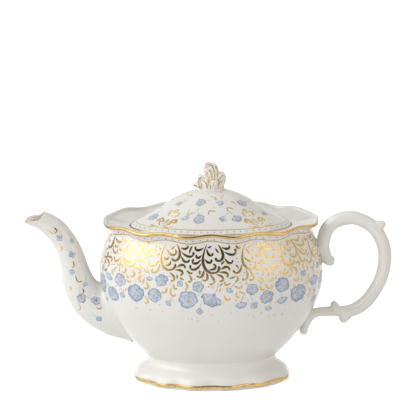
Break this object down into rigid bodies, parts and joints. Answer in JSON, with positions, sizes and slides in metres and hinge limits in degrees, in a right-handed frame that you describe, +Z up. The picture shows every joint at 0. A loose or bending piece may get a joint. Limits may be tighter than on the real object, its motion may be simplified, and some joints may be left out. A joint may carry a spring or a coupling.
{
  "type": "teapot",
  "caption": "Footed oval china teapot with a scalloped gilded rim, a lift-off domed lid with a leaf knob, a curved spout and a scrolled loop handle.",
  "frame": {"origin": "centre of the foot's base, on the surface the pot stands on", "axes": "+Z up, +X towards the handle, -X towards the spout, +Y towards the back"},
  "size_m": [0.288, 0.1192, 0.1737],
  "materials": {
    "china": "glossy clear glaze over warm white bone china",
    "gilding": "burnished gold on the glaze"
  },
  "bodies": {
    "pot": {"bowl": "china", "foot": "china", "spout": "china", "handle": "china", "rim_gilding": "gilding", "foot_gilding": "gilding", "spout_gilding": "gilding"},
    "lid": {"lid": "china", "knob": "china", "lid_gilding": "gilding"}
  },
  "joints": [
    {"name": "lid_lift", "type": "slide", "parent": "pot", "child": "lid", "axis": [0, 0, 1], "range_m": [0, 0.08]}
  ]
}
